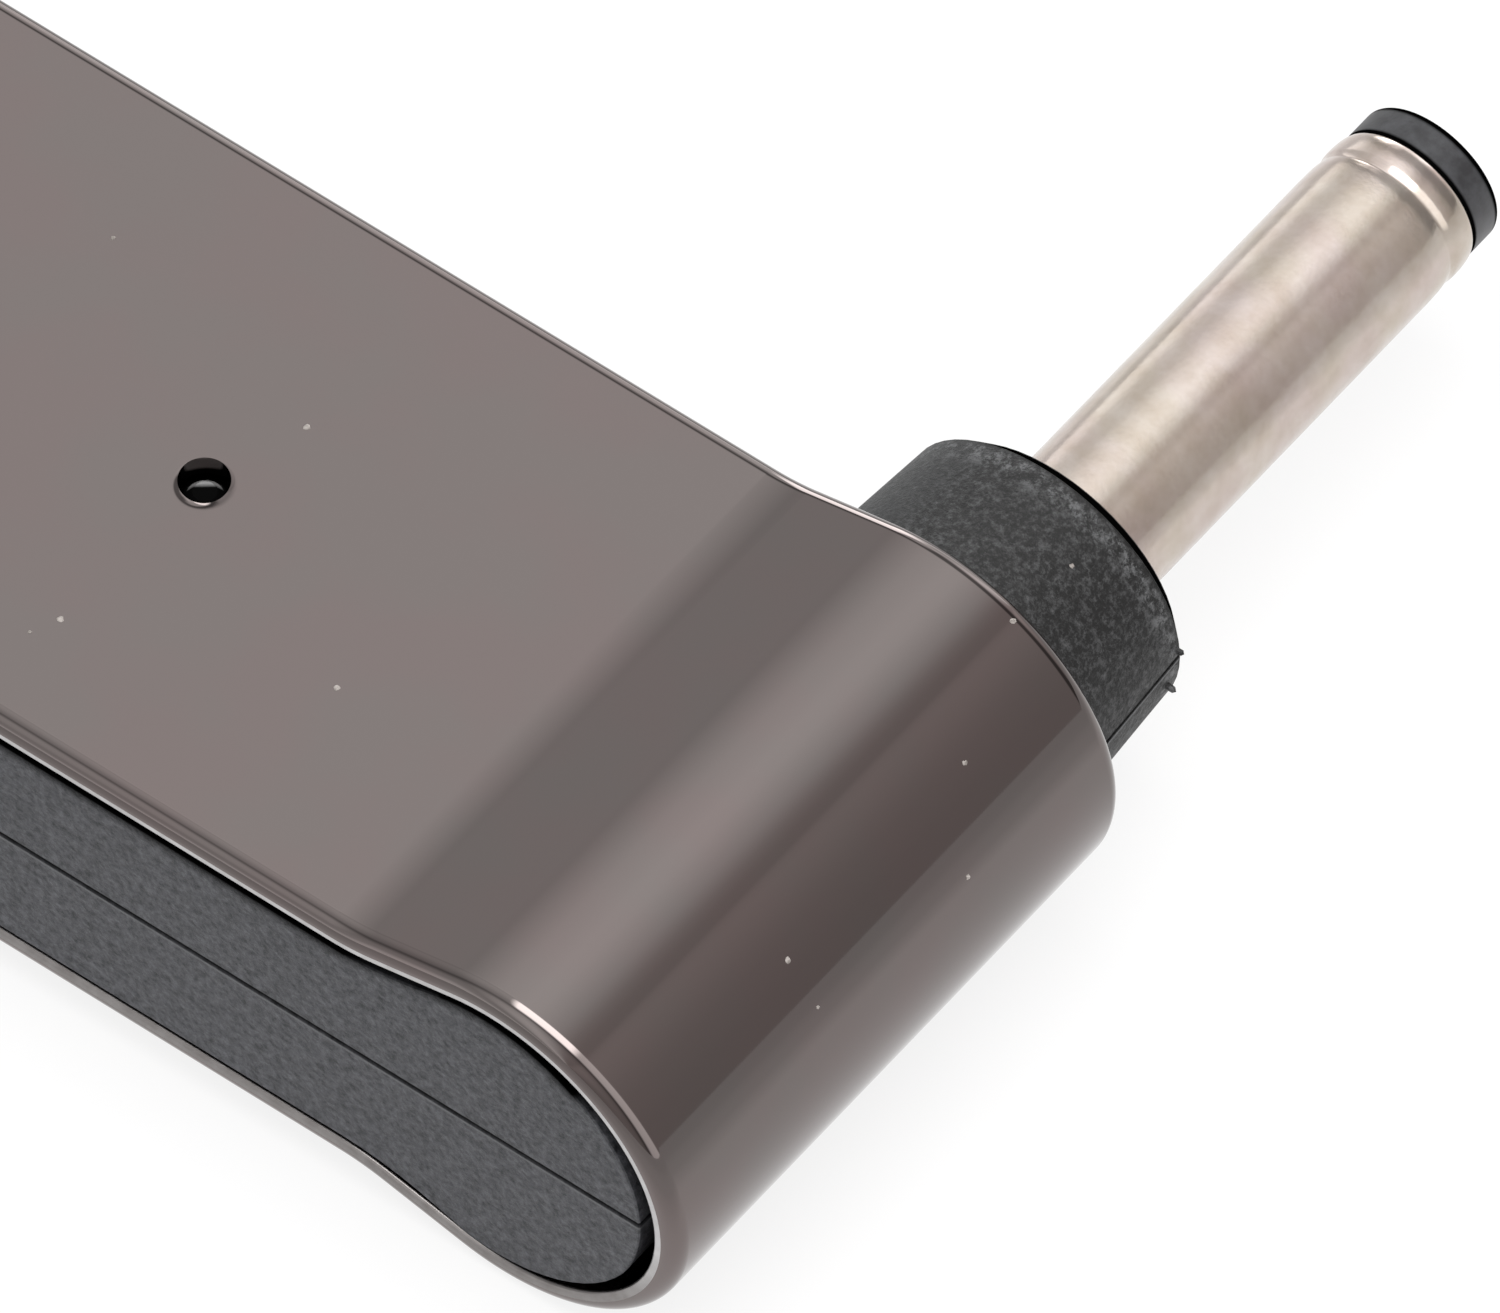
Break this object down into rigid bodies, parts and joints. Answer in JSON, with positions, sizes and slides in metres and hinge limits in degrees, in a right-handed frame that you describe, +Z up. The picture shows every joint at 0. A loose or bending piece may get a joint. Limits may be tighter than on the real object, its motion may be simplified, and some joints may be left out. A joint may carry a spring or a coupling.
{
  "type": "usb-c to dc plug adapter",
  "caption": "Right-angle adapter: a flat gunmetal sleeve over a black core, with a USB-C socket at one end and a round DC plug standing out of the side of its rounded end.",
  "frame": {"origin": "on the DC plug's axis, on the front face of the collar that the plug stands in", "axes": "+X along the body towards its round end, +Y the way the DC plug points, +Z up through the thickness"},
  "size_m": [0.0385, 0.03, 0.009],
  "materials": {
    "sleeve_metal": "glossy gunmetal plating",
    "core_plastic": "fine spark-eroded texture",
    "plug_nickel": "satin warm nickel plating",
    "insulator_plastic": "satin",
    "contact_gold": "gold plated",
    "clear_plastic": "polished",
    "board_laminate": "solder mask",
    "socket_steel": "satin",
    "socket_plastic": "satin",
    "chip_resin": "matt",
    "tinned_metal": "tinned",
    "led_body": "translucent white",
    "capacitor_ceramic": "fired ceramic"
  },
  "bodies": {
    "root": {"metal_shell": "sleeve_metal", "core_upper": "core_plastic", "core_lower": "core_plastic", "plug_barrel": "plug_nickel", "plug_insulator": "insulator_plastic", "plug_centre_contact": "contact_gold", "light_pipe": "clear_plastic", "circuit_board": "board_laminate", "receptacle_shell": "socket_steel", "receptacle_housing": "socket_plastic", "receptacle_mid_plate": "socket_steel", "trigger_chip": "chip_resin", "chip_leads": "tinned_metal", "indicator_led": "led_body", "capacitor_1": "capacitor_ceramic", "capacitor_2": "capacitor_ceramic", "capacitor_3": "capacitor_ceramic", "resistor_1": "chip_resin", "resistor_2": "chip_resin", "resistor_3": "chip_resin", "resistor_4": "chip_resin", "positive_lead": "tinned_metal", "negative_lead": "tinned_metal", "contact_upper_1": "contact_gold", "contact_upper_2": "contact_gold", "contact_upper_3": "contact_gold", "contact_upper_4": "contact_gold", "contact_upper_5": "contact_gold", "contact_upper_6": "contact_gold", "contact_upper_7": "contact_gold", "contact_upper_8": "contact_gold", "contact_lower_1": "contact_gold", "contact_lower_2": "contact_gold", "contact_lower_3": "contact_gold", "contact_lower_4": "contact_gold", "contact_lower_5": "contact_gold", "contact_lower_6": "contact_gold", "contact_lower_7": "contact_gold", "contact_lower_8": "contact_gold"}
  },
  "joints": []
}
